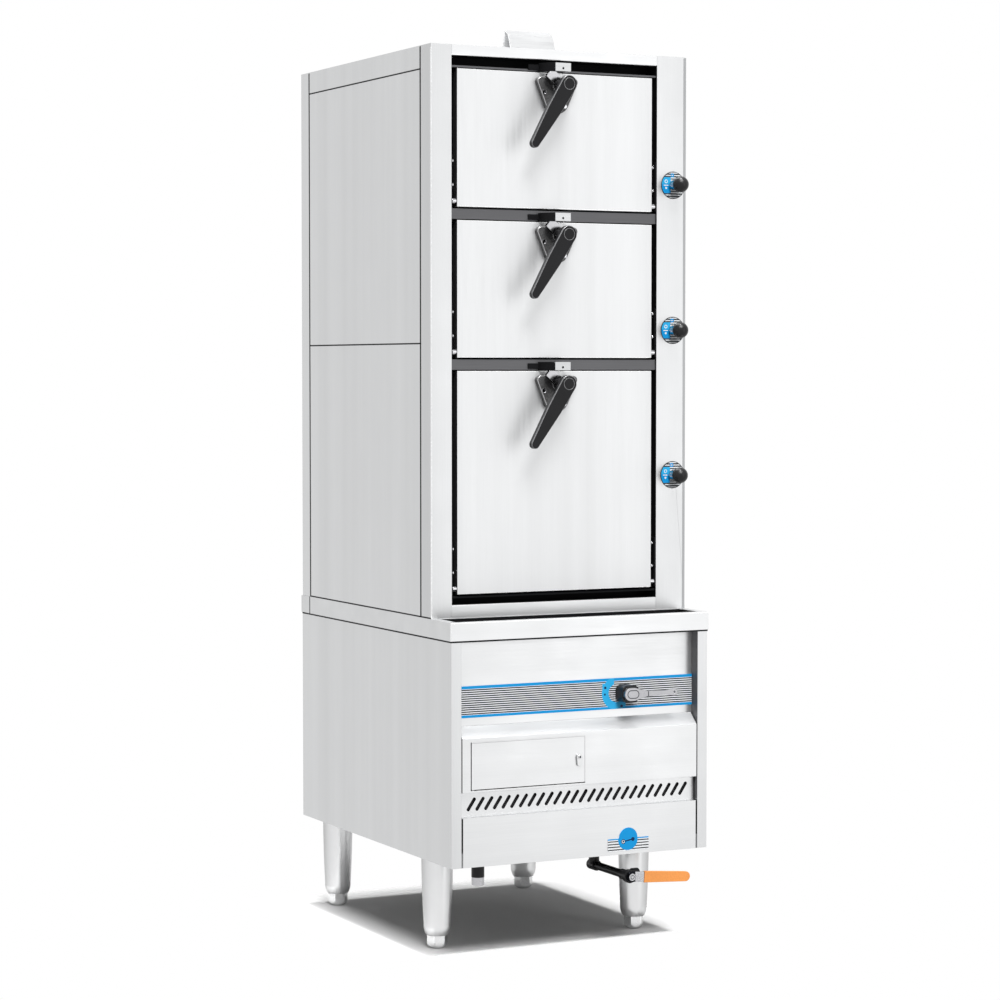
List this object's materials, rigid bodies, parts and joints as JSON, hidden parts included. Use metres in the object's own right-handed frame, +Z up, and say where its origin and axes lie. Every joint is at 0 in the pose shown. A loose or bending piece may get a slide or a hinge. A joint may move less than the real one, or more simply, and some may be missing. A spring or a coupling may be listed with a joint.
{
  "type": "steam cabinet",
  "caption": "Tall gas steam cabinet on adjustable feet, with stacked insulated chambers behind drop-down doors, turn-handle latches, steam valve knobs and a drain valve.",
  "frame": {"origin": "middle of the whole outline seen from above, on the floor", "axes": "+X to the right seen from the front, the front faces -Y, +Z up"},
  "size_m": [0.604, 0.803, 1.935],
  "materials": {
    "satin_stainless": "satin brushed stainless steel sheet",
    "plain_stainless": "plain stainless steel",
    "dark_steel": "stainless rail, dark where it lies in shade",
    "frame_steel": "grey primed steel",
    "galvanised": "dull zinc-coated sheet",
    "black_rubber": "black silicone seal",
    "mineral_wool": "mineral wool batt",
    "brass": "dull brass",
    "black_pipe": "black painted pipe",
    "printed_plate": "thin printed plate with blue and grey marks",
    "bright_metal": "bright plated metal",
    "dark_casting": "dark grey die casting",
    "black_handle": "black moulded handle",
    "black_knob": "glossy black moulded knob",
    "orange_grip": "orange dipped grip"
  },
  "bodies": {
    "cabinet": {"apron_panel": "satin_stainless", "back_panels": "satin_stainless", "base_frame": "frame_steel", "base_front_stiles": "satin_stainless", "base_side_panels": "satin_stainless", "boiler_tank": "plain_stainless", "burner": "frame_steel", "chamber_liners": "plain_stainless", "control_panel": "satin_stainless", "divider_rails": "dark_steel", "drain_pipe": "black_pipe", "drain_valve_body": "black_pipe", "face_frame": "plain_stainless", "foot_adjusters": "plain_stainless", "foot_sleeves": "satin_stainless", "front_frame": "satin_stainless", "gas_line": "black_pipe", "gutter_tray": "plain_stainless", "hinge_fasteners": "bright_metal", "hinge_plates": "galvanised", "insulation_batts": "mineral_wool", "lower_panel": "satin_stainless", "printed_plates": "printed_plate", "rim_deck": "satin_stainless", "roof_panel": "satin_stainless", "shelf_runners": "plain_stainless", "shelves": "plain_stainless", "side_shell": "satin_stainless", "steam_manifold": "brass", "strikes": "bright_metal", "vent_grille": "satin_stainless", "vent_hood": "galvanised", "water_inlet": "black_pipe"},
    "top_door": {"top_door_skin": "satin_stainless", "top_door_pan": "plain_stainless", "top_door_gasket": "black_rubber", "top_latch_base": "dark_casting"},
    "top_latch": {"top_latch_lever": "black_handle", "top_latch_cam": "bright_metal"},
    "top_knob": {"top_steam_knob": "black_knob"},
    "middle_door": {"middle_door_skin": "satin_stainless", "middle_door_pan": "plain_stainless", "middle_door_gasket": "black_rubber", "middle_latch_base": "dark_casting"},
    "middle_latch": {"middle_latch_lever": "black_handle", "middle_latch_cam": "bright_metal"},
    "middle_knob": {"middle_steam_knob": "black_knob"},
    "bottom_door": {"bottom_door_skin": "satin_stainless", "bottom_door_pan": "plain_stainless", "bottom_door_gasket": "black_rubber", "bottom_latch_base": "dark_casting"},
    "bottom_latch": {"bottom_latch_lever": "black_handle", "bottom_latch_cam": "bright_metal"},
    "bottom_knob": {"bottom_steam_knob": "black_knob"},
    "access_door": {"access_door": "satin_stainless"},
    "access_latch": {"access_latch": "bright_metal"},
    "gas_handle": {"gas_knob": "black_knob", "gas_lever": "bright_metal"},
    "drain_handle": {"drain_lever": "bright_metal", "drain_lever_sleeve": "orange_grip"}
  },
  "joints": [
    {"name": "top_door_hinge", "type": "hinge", "parent": "cabinet", "child": "top_door", "pos_m": [0, -0.2825, 1.562], "axis": [1, 0, 0], "range_deg": [0, 90]},
    {"name": "top_latch_turn", "type": "hinge", "parent": "top_door", "child": "top_latch", "pos_m": [-0.012, -0.3205, 1.805], "axis": [0, -1, 0], "range_deg": [0, 75]},
    {"name": "middle_door_hinge", "type": "hinge", "parent": "cabinet", "child": "middle_door", "pos_m": [0, -0.2825, 1.253], "axis": [1, 0, 0], "range_deg": [0, 90]},
    {"name": "middle_latch_turn", "type": "hinge", "parent": "middle_door", "child": "middle_latch", "pos_m": [-0.012, -0.3205, 1.496], "axis": [0, -1, 0], "range_deg": [0, 75]},
    {"name": "bottom_door_hinge", "type": "hinge", "parent": "cabinet", "child": "bottom_door", "pos_m": [0, -0.2825, 0.765], "axis": [1, 0, 0], "range_deg": [0, 90]},
    {"name": "bottom_latch_turn", "type": "hinge", "parent": "bottom_door", "child": "bottom_latch", "pos_m": [-0.012, -0.3205, 1.187], "axis": [0, -1, 0], "range_deg": [0, 75]},
    {"name": "bottom_steam_turn", "type": "hinge", "parent": "cabinet", "child": "bottom_knob", "pos_m": [0.2685, -0.3105, 0.992], "axis": [0, -1, 0], "range_deg": [0, 270]},
    {"name": "middle_steam_turn", "type": "hinge", "parent": "cabinet", "child": "middle_knob", "pos_m": [0.2685, -0.3105, 1.3], "axis": [0, -1, 0], "range_deg": [0, 270]},
    {"name": "top_steam_turn", "type": "hinge", "parent": "cabinet", "child": "top_knob", "pos_m": [0.2685, -0.3105, 1.608], "axis": [0, -1, 0], "range_deg": [0, 270]},
    {"name": "access_door_hinge", "type": "hinge", "parent": "cabinet", "child": "access_door", "pos_m": [-0.25, -0.3815, 0.41], "axis": [0, 0, -1], "range_deg": [0, 105]},
    {"name": "access_latch_turn", "type": "hinge", "parent": "access_door", "child": "access_latch", "pos_m": [-0.007, -0.3855, 0.415], "axis": [0, -1, 0], "range_deg": [0, 90]},
    {"name": "gas_lever_turn", "type": "hinge", "parent": "cabinet", "child": "gas_handle", "pos_m": [0.112, -0.3875, 0.54], "axis": [0, -1, 0], "range_deg": [0, 90]},
    {"name": "drain_lever_turn", "type": "hinge", "parent": "cabinet", "child": "drain_handle", "pos_m": [0.118, -0.3855, 0.154], "axis": [0, 1, 0], "range_deg": [0, 90]}
  ]
}
